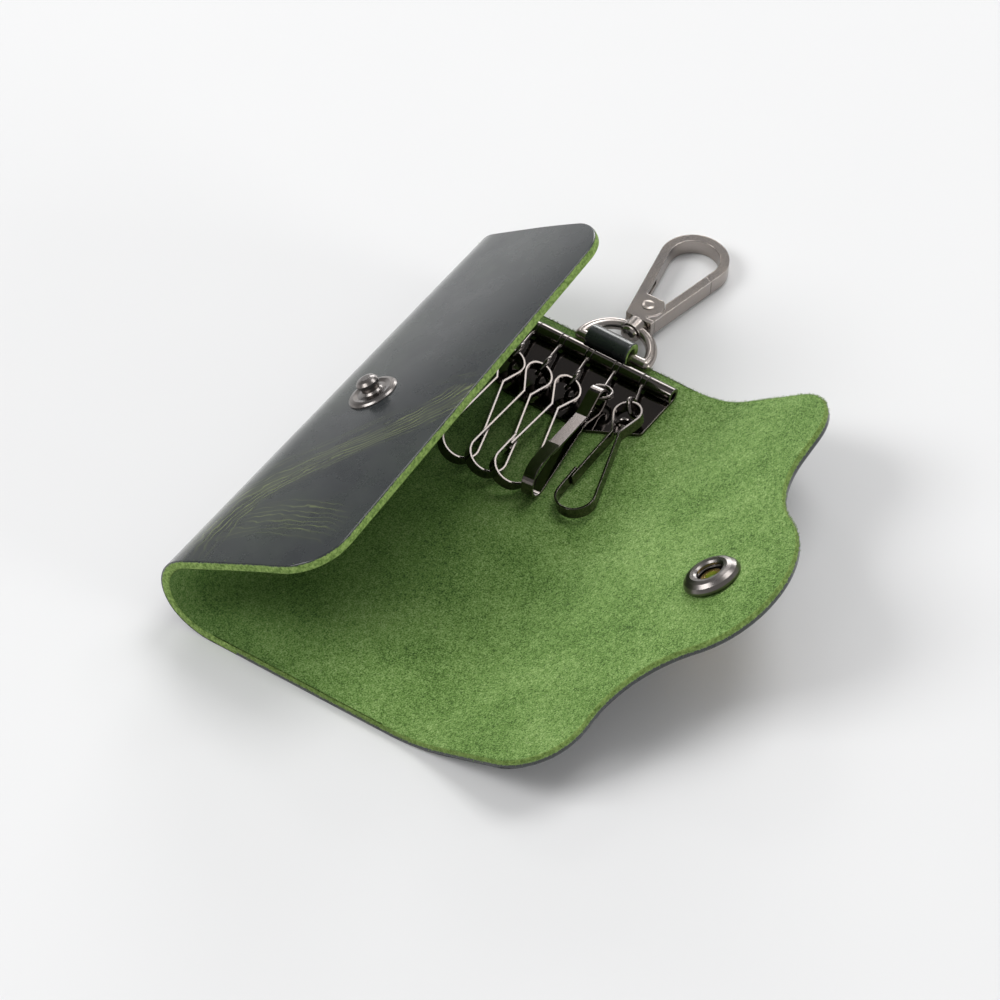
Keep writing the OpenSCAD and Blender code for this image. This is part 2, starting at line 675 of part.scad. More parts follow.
// Point where a line from p touches the round tip
tip_c = [tip_x, tip_y];
function tip_touch(p, side) = let (v = p - tip_c, a = atan2(v[1], v[0]) - side * acos(tip_r / norm(v)))
    tip_c + tip_r * [cos(a), sin(a)];
foot_hi = [0, foot_half];
foot_lo = [0, -foot_half];
hi_touch = tip_touch(foot_hi, 1);
lo_touch = tip_touch(foot_lo, -1);
hi_out = unit(hi_touch - tip_c);
lo_out = unit(lo_touch - tip_c);

// Tapered loop: a round tip joined to a straight foot by two touching lines
module taper_outline(inset) {
    polygon(concat([foot_hi - inset * hi_out],
                   arc(tip_c, tip_r - inset, atan2(hi_out[1], hi_out[0]), atan2(lo_out[1], lo_out[0]), 40),
                   [foot_lo - inset * lo_out]));
}

// Side that the gate takes from the body: from the foot's step to the nose,
// outside the knuckle
module gate_zone(gap) {
    difference() {
        intersection() {
            translate([gate_x - gap, -2 * tip_r]) square([tip_x, 2 * tip_r + gate_top]);
            translate(pin_at) circle(gate_reach + gap);
        }
        translate(pin_at) circle(knuckle_r + gate_gap - gap);
    }
}

// Slot in the middle of the foot, for the gate's tongue and its swing
module tongue_slot() {
    translate(pin_at) {
        circle(tongue_r0 + pocket_gap);
        ring_sector(0, knuckle_r + cut, -90 - tongue_spread - gate_open * 0.2, -90 + tongue_spread + gate_open * 1.2);
    }
}

// Line of the leaf spring along the high arm, from the knuckle outwards
leaf_dir = unit(hi_touch - foot_hi);
leaf_line = [for (x = [pin_x + knuckle_r * 0.3, foot_len + leaf_out]) foot_hi + leaf_dir * x - hi_out * (arm_w - leaf_depth)];

module leaf_slot() {
    polygon([leaf_line[0] - leaf_dir * leaf_t + hi_out * leaf_t / 2, leaf_line[1] + hi_out * leaf_t / 2,
             leaf_line[1] - hi_out * arm_w, leaf_line[0] - leaf_dir * leaf_t - hi_out * arm_w * 0.6]);
}

module clasp_body() {
    color(clasp_metal) on_clasp() difference() {
        translate([0, 0, -clasp_t / 2]) linear_extrude(clasp_t) difference() {
            taper_outline(0);
            difference() {
                taper_outline(arm_w);
                translate([-cut, -tip_r]) square([foot_len + cut, 2 * tip_r]);
            }
            gate_zone(gate_gap);
        }
        translate([0, 0, -tongue_t / 2 - pocket_gap / 2]) linear_extrude(tongue_t + pocket_gap) {
            tongue_slot();
            leaf_slot();
        }
        translate([-cut, 0, 0]) x_cylinder(post_r, cut + post_in);
        translate([pin_at[0], pin_at[1], 0]) cylinder(r = pin_r + run_gap, h = clasp_t + 2 * cut, center = true);
    }
}

module clasp_gate() {
    color(clasp_metal) on_clasp() difference() {
        union() {
            translate([0, 0, -clasp_t / 2]) linear_extrude(clasp_t) intersection() {
                difference() {
                    taper_outline(0);
                    taper_outline(arm_w);
                }
                gate_zone(0);
            }
            translate([0, 0, -tongue_t / 2]) linear_extrude(tongue_t) translate(pin_at) {
                circle(tongue_r0);
                ring_sector(0, knuckle_r + arm_w * 0.4, -90 - tongue_spread, -90 + tongue_spread);
            }
        }
        translate([pin_at[0], pin_at[1], 0]) cylinder(r = pin_r + run_gap, h = clasp_t, center = true);
    }
}

module gate_pin() {
    color(clasp_metal) on_clasp() translate([pin_at[0], pin_at[1], 0]) rotate_extrude()
        polygon([[0, -clasp_t / 2 - pin_head_h], [pin_head_r * 0.5, -clasp_t / 2 - pin_head_h], [pin_head_r * 0.9, -clasp_t / 2 - pin_head_h * 0.6],
            [pin_head_r, -clasp_t / 2], [pin_r, -clasp_t / 2], [pin_r, clasp_t / 2], [pin_head_r, clasp_t / 2],
            [pin_head_r * 0.9, clasp_t / 2 + pin_head_h * 0.6], [pin_head_r * 0.5, clasp_t / 2 + pin_head_h], [0, clasp_t / 2 + pin_head_h]]);
}

module gate_spring() {
    color(gunmetal) on_clasp() translate([0, 0, -tongue_t / 2]) linear_extrude(tongue_t) strip(leaf_line, leaf_t);
}

back_panel();
cover_fold();
cover_panel();
flap_fold();
flap_panel();
snap_stud();
stud_post();
snap_socket();
socket_spring();
socket_cap();
hook_plate();
hook_rod();
plate_rivets();
rivet_caps();
link(0);  // link_1
link(1);  // link_2
link(2);  // link_3
link(3);  // link_4
link(4);  // link_5
hook(0);  // hook_1
hook(1);  // hook_2
hook(2);  // hook_3
hook(3);  // hook_4
hook(4);  // hook_5
clasp_strap();
clasp_ring();
swivel_post();
clasp_body();
clasp_gate();
gate_pin();
gate_spring();
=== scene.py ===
import math
import bmesh
import bpy
import numpy as np
from mathutils import Matrix


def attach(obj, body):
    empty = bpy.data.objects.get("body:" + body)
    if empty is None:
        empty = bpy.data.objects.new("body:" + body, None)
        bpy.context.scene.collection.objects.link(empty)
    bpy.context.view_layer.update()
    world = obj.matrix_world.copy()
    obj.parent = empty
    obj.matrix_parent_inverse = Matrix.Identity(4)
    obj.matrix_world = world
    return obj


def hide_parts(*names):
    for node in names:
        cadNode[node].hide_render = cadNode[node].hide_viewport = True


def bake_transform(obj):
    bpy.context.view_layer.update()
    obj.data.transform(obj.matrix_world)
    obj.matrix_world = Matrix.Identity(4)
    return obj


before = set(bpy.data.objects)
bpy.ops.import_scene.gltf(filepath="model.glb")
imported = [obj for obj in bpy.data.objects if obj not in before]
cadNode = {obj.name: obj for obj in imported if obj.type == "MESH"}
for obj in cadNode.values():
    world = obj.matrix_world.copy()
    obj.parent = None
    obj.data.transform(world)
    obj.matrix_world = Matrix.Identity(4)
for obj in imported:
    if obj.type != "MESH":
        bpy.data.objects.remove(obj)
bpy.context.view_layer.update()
mm = 0.001


viewFrom = {"place": (-0.761436, -0.50675, 0.994499), "yaw": 33.101, "pitch": -47.249, "roll": 1.433,
            "lens": 248.33, "sensor": 36}


def makeCamera(v):
    yaw, pitch, roll = (math.radians(v[k]) for k in ("yaw", "pitch", "roll"))
    ahead = np.array([math.cos(pitch) * math.cos(yaw), math.cos(pitch) * math.sin(yaw), math.sin(pitch)])
    side = np.array([math.sin(yaw), -math.cos(yaw), 0.0])
    over = np.cross(side, ahead)
    right = math.cos(roll) * side + math.sin(roll) * over
    up = -math.sin(roll) * side + math.cos(roll) * over
    cam = bpy.data.objects.new("photoCamera", bpy.data.cameras.new("photoCamera"))
    cam.data.lens = v["lens"]
    cam.data.sensor_width = v["sensor"]
    cam.matrix_world = Matrix([[right[k], up[k], -ahead[k], v["place"][k]] for k in range(3)] + [[0, 0, 0, 1]])
    bpy.context.scene.collection.objects.link(cam)
    bpy.context.scene.camera = cam


studio = {"floorColour": (0.812, 0.812, 0.814), "floorShade": (0.6, 0.6, 0.62), "floorSize": 8.0, "floorDrop": 0.00005,
          "floorMottle": 25, "floorRough": 0.9, "floorSpecular": 0.1,
          "lamps": [{"name": "keyPanel", "place": (-0.985, 1.056, 1.389), "size": (1.00, 1.00), "power": 20.5},
                    {"name": "backPanel", "place": (0.939, 0.0, 1.766), "size": (0.95, 0.80), "power": 12.0},
                    {"name": "lowSweep", "place": (3.00, 1.60, 0.72), "size": (2.00, 1.00), "power": 44.0},
                    {"name": "lowSide", "place": (0.30, -1.95, 0.40), "size": (1.00, 0.60), "power": 13.0},
                    {"name": "hookPanel", "place": (0.958, -0.406, 0.937), "size": (0.14, 0.30), "power": 0.7},
                    {"name": "farPanel", "place": (0.864, 0.894, 1.007), "size": (0.30, 0.26), "power": 1.0},
                    {"name": "rollStrip", "place": (1.26, 0.56, 0.59), "size": (0.06, 0.50), "power": 0.4}],
          "skyColour": (0.985, 0.988, 0.995), "nearLow": 0.40, "farLow": 0.28, "nearHigh": 0.37, "farHigh": 0.40,
          "farYaw": 40, "lowSpan": (-0.5, 0.8), "highSpan": (-0.6, 0.7), "riseSpan": (0.04, 0.70),
          "flagYaw": 33, "flagRise": 46.5, "flagSpan": (0.975, 0.994), "flagDim": 0.30}


def aimedLamp(spec, target=(0, 0, 0.01)):
    lamp = bpy.data.lights.new(spec["name"], "AREA")
    lamp.shape = "RECTANGLE"
    lamp.size, lamp.size_y = spec["size"]
    lamp.energy = spec["power"]
    ob = bpy.data.objects.new(spec["name"], lamp)
    back = np.array(spec["place"]) - np.array(target)
    back = back / np.linalg.norm(back)
    side = np.cross([0, 0, 1], back)
    side = side / np.linalg.norm(side)
    up = np.cross(back, side)
    ob.matrix_world = Matrix([[side[k], up[k], back[k], spec["place"][k]] for k in range(3)] + [[0, 0, 0, 1]])
    bpy.context.scene.collection.objects.link(ob)


def makeStudio(s):
    scene = bpy.context.scene
    scene.view_settings.view_transform = "Standard"
    for spec in s["lamps"]:
        aimedLamp(spec)
    world = bpy.data.worlds.new("paleStudio")
    scene.world = world
    world.use_nodes = True
    tree = world.node_tree
    back = tree.nodes["Background"]
    back.inputs["Color"].default_value = (*s["skyColour"], 1)
    way = addNode(tree, "ShaderNodeTexCoord").outputs["Generated"]
    rise = addNode(tree, "ShaderNodeSeparateXYZ", {0: way}).outputs["Z"]
    farYaw, flagYaw, flagRise = (math.radians(s[k]) for k in ("farYaw", "flagYaw", "flagRise"))
    toFar = facing(tree, way, (math.cos(farYaw), math.sin(farYaw), 0))
    low = remap(tree, toFar, *s["lowSpan"], s["nearLow"], s["farLow"])       # the room's lower half, near and far
    high = remap(tree, toFar, *s["highSpan"], s["nearHigh"], s["farHigh"])
    level = blendValue(tree, remap(tree, rise, *s["riseSpan"]), low, high)
    flag = facing(tree, way, (math.cos(flagRise) * math.cos(flagYaw), math.cos(flagRise) * math.sin(flagYaw),
                              math.sin(flagRise)))
    dimmed = remap(tree, flag, *s["flagSpan"], 1.0, s["flagDim"])      # a black flag that flat polished faces see
    level = calc(tree, "MULTIPLY", level, dimmed)
    tree.links.new(level, back.inputs["Strength"])
    half, under = s["floorSize"] / 2, -s["floorDrop"]
    mesh = bpy.data.meshes.new("studioFloor")
    mesh.from_pydata([(-half, -half, under), (half, -half, under), (half, half, under), (-half, half, under)],
                     [], [(0, 1, 2, 3)])
    floor = bpy.data.objects.new("studioFloor", mesh)
    scene.collection.objects.link(floor)
    mat, tree, bsdf = newMaterial("paleFloor")
    mottle = noiseOut(tree, objectCoords(tree), s["floorMottle"], 3, 0.5)
    soft = blendColour(tree, remap(tree, mottle, 0.3, 0.7, 0.0, 0.02), s["floorColour"], s["floorShade"])
    tree.links.new(soft, bsdf.inputs["Base Color"])
    bsdf.inputs["Roughness"].default_value = s["floorRough"]
    bsdf.inputs["Specular IOR Level"].default_value = s["floorSpecular"]
    mesh.materials.append(mat)


def addNode(tree, kind, inputs=None, **settings):
    n = tree.nodes.new(kind)
    for key, value in settings.items():
        setattr(n, key, value)
    for key, value in (inputs or {}).items():
        if isinstance(value, bpy.types.NodeSocket):
            tree.links.new(value, n.inputs[key])
        else:
            n.inputs[key].default_value = value
    return n


def rgba(c):
    return (c[0], c[1], c[2], 1)


def noiseOut(tree, vector, scale, detail=3, rough=0.55, out="Fac"):
    return addNode(tree, "ShaderNodeTexNoise",
                   {"Vector": vector, "Scale": scale, "Detail": detail, "Roughness": rough}).outputs[out]


def remap(tree, value, low, high, toLow=0.0, toHigh=1.0):
    return addNode(tree, "ShaderNodeMapRange", {"Value": value, "From Min": low, "From Max": high,
                                                "To Min": toLow, "To Max": toHigh}).outputs["Result"]


def calc(tree, op, a, b=0.0):
    return addNode(tree, "ShaderNodeMath", {0: a, 1: b}, operation=op).outputs[0]


def facing(tree, vector, towards):
    return addNode(tree, "ShaderNodeVectorMath", {0: vector, 1: towards}, operation="DOT_PRODUCT").outputs["Value"]


def blendValue(tree, factor, a, b):
    return addNode(tree, "ShaderNodeMix", {0: factor, 2: a, 3: b}, data_type="FLOAT").outputs[0]


def blendColour(tree, factor, a, b, mode="MIX"):
    n = addNode(tree, "ShaderNodeMix", data_type="RGBA", blend_type=mode)
    for key, value in ((0, factor), (6, a), (7, b)):
        if isinstance(value, bpy.types.NodeSocket):
            tree.links.new(value, n.inputs[key])
        else:
            n.inputs[key].default_value = value if key == 0 else rgba(value)
    return n.outputs[2]


def newGroup(name, ins, outs):
    tree = bpy.data.node_groups.new(name, "ShaderNodeTree")
    for label, kind, default in ins:
        sock = tree.interface.new_socket(name=label, in_out="INPUT", socket_type=kind)
        sock.default_value = rgba(default) if kind == "NodeSocketColor" else default
    for label, kind in outs:
        tree.interface.new_socket(name=label, in_out="OUTPUT", socket_type=kind)
    return tree, tree.nodes.new("NodeGroupInput").outputs, tree.nodes.new("NodeGroupOutput").inputs


def newMaterial(name):
    mat = bpy.data.materials.new(name)
    mat.use_nodes = True
    return mat, mat.node_tree, mat.node_tree.nodes["Principled BSDF"]


def objectCoords(tree):
    return addNode(tree, "ShaderNodeTexCoord").outputs["Object"]


# shadeSpan and shade set a painted shade that darkens the nap towards the fold
napLook = {"deep": (0.024, 0.062, 0.008), "mid": (0.152, 0.285, 0.060), "light": (0.370, 0.505, 0.195),
           "roughness": 0.95, "shadeSpan": (-0.022, 0.030), "shade": 0.48,
           "fibre": 3100, "clump": 900, "cloud": 75, "fleck": 1700}
# the crest entries paint a sheen along the fold's crest in the grain's colour, and crestCoat adds real gloss there
grainLook = {"base": (0.021, 0.025, 0.027), "warm": (0.031, 0.039, 0.034), "pull": (0.175, 0.210, 0.075),
             "roughness": 0.27, "bump": 0.02, "coat": 0.30, "coatRough": 0.16, "specular": 0.42,
             "cell": 1500, "cloud": 45, "fine": 2600, "polish": 140, "bend": 300, "bendBy": 0.0012,
             "crestFront": (0.0485, 0.0405), "crestRear": (0.030, 0.037), "crestSheenShare": 0.65,
             "crestSheenColour": (0.115, 0.120, 0.112), "crestCoat": 0.5}
rimLook = {"deep": (0.070, 0.140, 0.018), "light": (0.300, 0.430, 0.120), "noise": 1500}
reliefLook = {"strength": 0.55, "distance": 0.00025}


def makeNapGroup():
    tree, i, o = newGroup("suedeNap",
                          [("Vector", "NodeSocketVector", (0, 0, 0)), ("Deep", "NodeSocketColor", (0, 0, 0)),
                           ("Mid", "NodeSocketColor", (0, 0, 0)), ("Light", "NodeSocketColor", (0, 0, 0))],
                          [("Color", "NodeSocketColor"), ("Height", "NodeSocketFloat")])
    v = i["Vector"]
    fibre = noiseOut(tree, v, napLook["fibre"], 3, 0.65)         # single fibres
    clump = noiseOut(tree, v, napLook["clump"], 3, 0.6)          # tufts about a millimetre across
    cloud = noiseOut(tree, v, napLook["cloud"], 3, 0.55)         # where hands have laid the nap
    fleck = noiseOut(tree, v, napLook["fleck"], 2, 0.6)
    tone = calc(tree, "ADD", calc(tree, "MULTIPLY", remap(tree, fibre, 0.33, 0.67), 0.62),
                calc(tree, "MULTIPLY", remap(tree, clump, 0.3, 0.7), 0.23))
    tone = calc(tree, "ADD", tone, calc(tree, "MULTIPLY", remap(tree, cloud, 0.35, 0.65), 0.15))
    low = blendColour(tree, remap(tree, tone, 0.14, 0.50), i["Deep"], i["Mid"])
    full = blendColour(tree, remap(tree, tone, 0.50, 0.90), low, i["Light"])
    dark = calc(tree, "MULTIPLY", remap(tree, fleck, 0.60, 0.70), 0.55)
    out = blendColour(tree, dark, full, i["Deep"])
    tree.links.new(out, o["Color"])
    tree.links.new(tone, o["Height"])
    return tree


def makeGrainGroup():
    tree, i, o = newGroup("waxedGrain",
                          [("Vector", "NodeSocketVector", (0, 0, 0)), ("Base", "NodeSocketColor", (0, 0, 0)),
                           ("Warm", "NodeSocketColor", (0, 0, 0))],
                          [("Color", "NodeSocketColor"), ("Height", "NodeSocketFloat"), ("Gloss", "NodeSocketFloat")])
    v = i["Vector"]
    shift = addNode(tree, "ShaderNodeVectorMath", {0: noiseOut(tree, v, grainLook["bend"], 2, 0.5, "Color"),
                                                   3: grainLook["bendBy"]}, operation="SCALE").outputs[0]
    bent = addNode(tree, "ShaderNodeVectorMath", {0: v, 1: shift}, operation="ADD").outputs[0]
    cell = addNode(tree, "ShaderNodeTexVoronoi", {"Vector": bent, "Scale": grainLook["cell"]},
                   feature="DISTANCE_TO_EDGE").outputs["Distance"]
    pore = remap(tree, cell, 0.0, 0.12)
    cloud = noiseOut(tree, v, grainLook["cloud"], 4, 0.6)
    fine = noiseOut(tree, v, grainLook["fine"], 2, 0.6)
    mix = blendColour(tree, remap(tree, cloud, 0.42, 0.68), i["Base"], i["Warm"])
    tree.links.new(mix, o["Color"])
    height = calc(tree, "ADD", calc(tree, "MULTIPLY", pore, 0.6), calc(tree, "MULTIPLY", fine, 0.4))
    tree.links.new(height, o["Height"])
    polish = noiseOut(tree, v, grainLook["polish"], 4, 0.6)
    tree.links.new(remap(tree, polish, 0.3, 0.7, -0.05, 0.07), o["Gloss"])
    return tree


napGroup = makeNapGroup()
grainGroup = makeGrainGroup()


def leatherMaterial(name, scratches, napFrom):
    mat, tree, bsdf = newMaterial(name)
    obj = objectCoords(tree)
    uv = addNode(tree, "ShaderNodeUVMap", uv_map="flat").outputs["UV"]
    side = addNode(tree, "ShaderNodeAttribute", attribute_name="side").outputs["Fac"]
    rim = addNode(tree, "ShaderNodeAttribute", attribute_name="rim").outputs["Fac"]
    nap = addNode(tree, "ShaderNodeGroup", node_tree=napGroup)
    tree.links.new(obj, nap.inputs["Vector"])
    for key, c in (("Deep", napLook["deep"]), ("Mid", napLook["mid"]), ("Light", napLook["light"])):
        nap.inputs[key].default_value = rgba(c)
    along = addNode(tree, "ShaderNodeSeparateXYZ", {0: uv}).outputs["Y"]
    paintedFoldShade = remap(tree, along, *napLook["shadeSpan"], 0.0, napLook["shade"])       # painted shade: the nap is darkened towards the fold, where the cover shades it
    napColour = blendColour(tree, paintedFoldShade, nap.outputs["Color"], napLook["deep"])
    grain = addNode(tree, "ShaderNodeGroup", node_tree=grainGroup)
    tree.links.new(obj, grain.inputs["Vector"])
    grain.inputs["Base"].default_value = rgba(grainLook["base"])
    grain.inputs["Warm"].default_value = rgba(grainLook["warm"])
    crest = calc(tree, "MULTIPLY", remap(tree, along, *grainLook["crestFront"]),
                 remap(tree, along, *grainLook["crestRear"]))
    crest = calc(tree, "MULTIPLY", crest, crest)
    paintedCrestSheen = calc(tree, "MULTIPLY", crest, grainLook["crestSheenShare"])        # painted sheen: the grain is lightened along the fold's crest, where it reflects the pale floor
    grainColour = blendColour(tree, paintedCrestSheen, grain.outputs["Color"], grainLook["crestSheenColour"])
    if scratches:
        grainColour = pullMarks(tree, uv, grainColour, scratches)
    rimNoise = noiseOut(tree, obj, rimLook["noise"], 4, 0.7)
    rimColour = blendColour(tree, remap(tree, rimNoise, 0.35, 0.62), rimLook["deep"], rimLook["light"])
    ragged = calc(tree, "ADD", side, remap(tree, noiseOut(tree, obj, 1800, 3, 0.7), 0.0, 1.0, -0.35, 0.35))
    isNap = remap(tree, ragged, napFrom - 0.09, napFrom + 0.09)
    face = blendColour(tree, isNap, grainColour, napColour)
    fuzz = calc(tree, "ADD", rim, remap(tree, noiseOut(tree, obj, 1100, 3, 0.7), 0.0, 1.0, -0.45, 0.45))
    onRim = calc(tree, "MULTIPLY", remap(tree, fuzz, 0.35, 0.65), isNap)
    colour = blendColour(tree, onRim, face, rimColour)
    tree.links.new(colour, bsdf.inputs["Base Color"])
    grainRough = calc(tree, "ADD", grain.outputs["Gloss"], grainLook["roughness"])
    tree.links.new(blendValue(tree, isNap, grainRough, napLook["roughness"]), bsdf.inputs["Roughness"])
    bsdf.inputs["Specular IOR Level"].default_value = grainLook["specular"]
    gloss = calc(tree, "ADD", calc(tree, "MULTIPLY", crest, grainLook["crestCoat"]), grainLook["coat"])
    tree.links.new(calc(tree, "MULTIPLY", calc(tree, "SUBTRACT", 1.0, isNap), gloss), bsdf.inputs["Coat Weight"])
    bsdf.inputs["Coat Roughness"].default_value = grainLook["coatRough"]
    grainHeight = calc(tree, "MULTIPLY", grain.outputs["Height"], grainLook["bump"])
    napHeight = calc(tree, "ADD", nap.outputs["Height"], calc(tree, "MULTIPLY", onRim, rimNoise))
    bump = addNode(tree, "ShaderNodeBump", {"Strength": reliefLook["strength"], "Distance": reliefLook["distance"],
                                            "Height": blendValue(tree, isNap, grainHeight, napHeight)})
    tree.links.new(bump.outputs["Normal"], bsdf.inputs["Normal"])
    return mat


markNoise = {"braid": 260, "breaks": 90.0, "veil": 420}


# Pull-up marks: where the waxed grain has been bent it cracks into fine light green lines, which run along a band
def pullMarks(tree, uv, base, marks):
    out = base
    for m in marks:
        xyz = addNode(tree, "ShaderNodeSeparateXYZ", {0: uv}).outputs
        along, across = (xyz[0], xyz[1]) if m["runs"] == "x" else (xyz[1], xyz[0])
        share = remap(tree, along, m["from"], m["to"])
        curve = addNode(tree, "ShaderNodeFloatCurve", {"Factor": 1.0, "Value": share})
        line = curve.mapping.curves[0]
        for k, (a, b) in enumerate(m["line"]):
            if k < 2:
                line.points[k].location = (a, b)
            else:
                line.points.new(a, b)
        curve.mapping.update()
        middle = remap(tree, curve.outputs[0], 0, 1, m["low"], m["high"])
        off = calc(tree, "MULTIPLY", calc(tree, "SUBTRACT", across, middle), m["squeeze"])
        where = addNode(tree, "ShaderNodeCombineXYZ",
                        {0: calc(tree, "MULTIPLY", along, m["stretch"]), 1: off, 2: m["seed"]}).outputs[0]
        sway = calc(tree, "MULTIPLY",
                    calc(tree, "SUBTRACT", noiseOut(tree, where, m["swayScale"], 2, 0.5), 0.5), m["sway"])
        braid = calc(tree, "MULTIPLY",
                     calc(tree, "SUBTRACT", noiseOut(tree, uv, markNoise["braid"], 2, 0.5), 0.5), m["braid"])
        turn = calc(tree, "DIVIDE", calc(tree, "ADD", calc(tree, "ADD", off, sway), braid), m["spacing"])
        ridge = calc(tree, "ABSOLUTE", calc(tree, "SUBTRACT", calc(tree, "FRACT", turn), 0.5))
        thin = remap(tree, ridge, m["width"] / m["spacing"] / 2, 0.0)
        number = calc(tree, "FLOOR", turn)
        own = addNode(tree, "ShaderNodeCombineXYZ",
                      {0: calc(tree, "MULTIPLY", along, markNoise["breaks"]), 1: number, 2: m["seed"]}).outputs[0]
        broken = remap(tree, noiseOut(tree, own, 1.7, 3, 0.6), 0.26, 0.58)
        inBand = remap(tree, calc(tree, "ABSOLUTE", off), m["half"], m["half"] * 0.55)
        ends = calc(tree, "MULTIPLY", remap(tree, share, 0.0, m["fade"][0]),
                    remap(tree, share, 1.0, 1.0 - m["fade"][1]))
        veil = calc(tree, "MULTIPLY", remap(tree, noiseOut(tree, where, markNoise["veil"], 3, 0.6), 0.40, 0.75), 0.16)
        amount = calc(tree, "MULTIPLY", calc(tree, "MAXIMUM", calc(tree, "MULTIPLY", thin, broken), veil),
                      calc(tree, "MULTIPLY", inBand, ends))
        out = blendColour(tree, calc(tree, "MULTIPLY", amount, m["strength"]), out, grainLook["pull"])
    return out


coverMarks = [
    {"runs": "x", "from": -0.054, "to": 0.003, "low": 0.044, "high": 0.080, "fade": (0.20, 0.03), "seed": 0.13,
     "line": [(0.0, 0.07), (1.0, 1.0), (0.14, 0.036), (0.28, 0.045), (0.37, 0.09), (0.456, 0.19), (0.53, 0.30),
              (0.60, 0.42), (0.67, 0.555), (0.74, 0.69), (0.81, 0.80), (0.88, 0.90)],
     "half": 0.0044, "squeeze": 0.72, "stretch": 0.30, "swayScale": 300, "sway": 0.0026, "braid": 0.0014,
     "spacing": 0.00104, "width": 0.00040, "strength": 1.0},
    {"runs": "s", "from": 0.047, "to": 0.077, "low": -0.046, "high": -0.032, "fade": (0.25, 0.25), "seed": 0.57,
     "line": [(0.0, 0.15), (1.0, 0.35), (0.3, 0.42), (0.7, 0.44)],
     "half": 0.0062, "squeeze": 0.95, "stretch": 0.40, "swayScale": 260, "sway": 0.0030, "braid": 0.0014,
     "spacing": 0.0014, "width": 0.00038, "strength": 0.60},
    {"runs": "x", "from": -0.029, "to": -0.005, "low": 0.043, "high": 0.067, "fade": (0.2, 0.3), "seed": 0.83,
     "line": [(0.0, 0.0), (1.0, 1.0), (0.25, 0.15), (0.5, 0.42), (0.75, 0.73)],
     "half": 0.0016, "squeeze": 0.72, "stretch": 0.35, "swayScale": 260, "sway": 0.0020, "braid": 0.0010,
     "spacing": 0.0014, "width": 0.00040, "strength": 0.45},
    {"runs": "s", "from": 0.067, "to": 0.079, "low": 0.001, "high": 0.008, "fade": (0.2, 0.3), "seed": 0.31,
     "line": [(0.0, 0.1), (1.0, 0.75)],
     "half": 0.0008, "squeeze": 0.9, "stretch": 0.35, "swayScale": 260, "sway": 0.0010, "braid": 0.0006,
     "spacing": 0.0014, "width": 0.00040, "strength": 0.5},
]


caseShape = {"length": 108, "thick": 2, "front": 20.9, "rear": 20, "liftR": 12.6, "liftA": 30, "creaseR": 8.8,
             "creaseA": 117.8, "coverW": 35.0, "coverCorner": 10, "coverTaper": 1.7, "coverTwist": 5.1,
             "bendLength": 13.296, "flapA": 29.3, "flapSide": 27.2, "flapSlant": 1.6, "flapCorner": 13,
             "tongueW": 47.3, "tongueR": 20.8, "shoulderR": 23, "tongueX": -0.3, "flapTwist": 8.25,
             "seam": 14, "ease": 1.0, "curl": 4.5, "curlFrom": 12, "coverRimNap": -0.71, "backRimNap": 0.0,
             "columns": 60, "coverRows": 58, "coverLastRow": 0.008,
             "backRows": 76, "backLastRow": 0.006, "pocketDrop": 1.02, "pocketEdge": 0.2}


# Place of a point of the sheet: x along the fold, s along the section, n towards the suede side
def sheetPoint(c, x, s, n):
    x, s, n = np.broadcast_arrays(np.asarray(x, float), np.asarray(s, float), np.asarray(n, float))
    half = c["length"] / 2
    t = x / half
    y = s.copy()
    z = c["thick"] / 2 + n
    liftA = math.radians(c["liftA"])
    liftLen, rl, rc = c["liftR"] * liftA, c["liftR"], c["creaseR"]
    creaseA = np.radians(c["creaseA"] - c["coverTwist"] * t - c["ease"])
    cy, cz = c["rear"], c["thick"] / 2 + rl
    a = (s - c["rear"]) / rl
    m = (s > c["rear"]) & (s <= c["rear"] + liftLen)
    y = np.where(m, cy + (rl - n) * np.sin(a), y)
    z = np.where(m, cz - (rl - n) * np.cos(a), z)
    ky, kz = cy + (rl - rc) * math.sin(liftA), cz - (rl - rc) * math.cos(liftA)
    past = s - c["rear"] - liftLen
    a = liftA + np.clip(past / rc, 0, creaseA)
    onArc = past > 0
    y = np.where(onArc, ky + (rc - n) * np.sin(a), y)
    z = np.where(onArc, kz - (rc - n) * np.cos(a), z)
    beyond = np.maximum(past - creaseA * rc, 0)
    straight = np.minimum(beyond, c["curlFrom"])
    y = y + np.where(onArc, straight * np.cos(a), 0)
    z = z + np.where(onArc, straight * np.sin(a), 0)
    bow = math.radians(c["curl"]) / (c["coverW"] - c["curlFrom"])      # the cover's free half curls on a little
    more = beyond - straight
    head = a + bow * more
    y = y + np.where(more > 0, (np.sin(head) - np.sin(a)) / bow - n * (np.sin(head) - np.sin(a)), 0)
    z = z + np.where(more > 0, (np.cos(a) - np.cos(head)) / bow + n * (np.cos(head) - np.cos(a)), 0)
    flapA = np.radians(c["flapA"] + c["flapTwist"] * t)
    rf = c["bendLength"] / flapA
    out = -s - c["front"]
    a = np.clip(out / rf, 0, flapA)
    onBend = out > 0
    y = np.where(onBend, -c["front"] - (rf - n) * np.sin(a), y)
    z = np.where(onBend, c["thick"] / 2 + rf - (rf - n) * np.cos(a), z)
    beyond = np.maximum(out - c["bendLength"], 0)
    y = y - np.where(onBend, beyond * np.cos(a), 0)
    z = z + np.where(onBend, beyond * np.sin(a), 0)
    taper = 1 - c["coverTaper"] / half * np.clip((past - creaseA * rc) / c["coverW"], 0, 1)
    return np.stack([x * taper, y, z], -1)


def coverReach(c, xi):
    crease = c["rear"] + c["liftR"] * math.radians(c["liftA"])
    tilt = np.radians(c["coverTwist"] * xi / (c["length"] / 2))
    turn = c["creaseR"] * (math.radians(c["creaseA"]) - tilt)
    wide = (c["coverW"] + c["creaseR"] * np.sin(tilt)) / np.cos(tilt)
    r = c["coverCorner"]
    over = np.clip(np.abs(xi) - (c["length"] / 2 - r), 0, r)
    return crease + turn + wide - r + np.sqrt(np.maximum(r * r - over * over, 0))


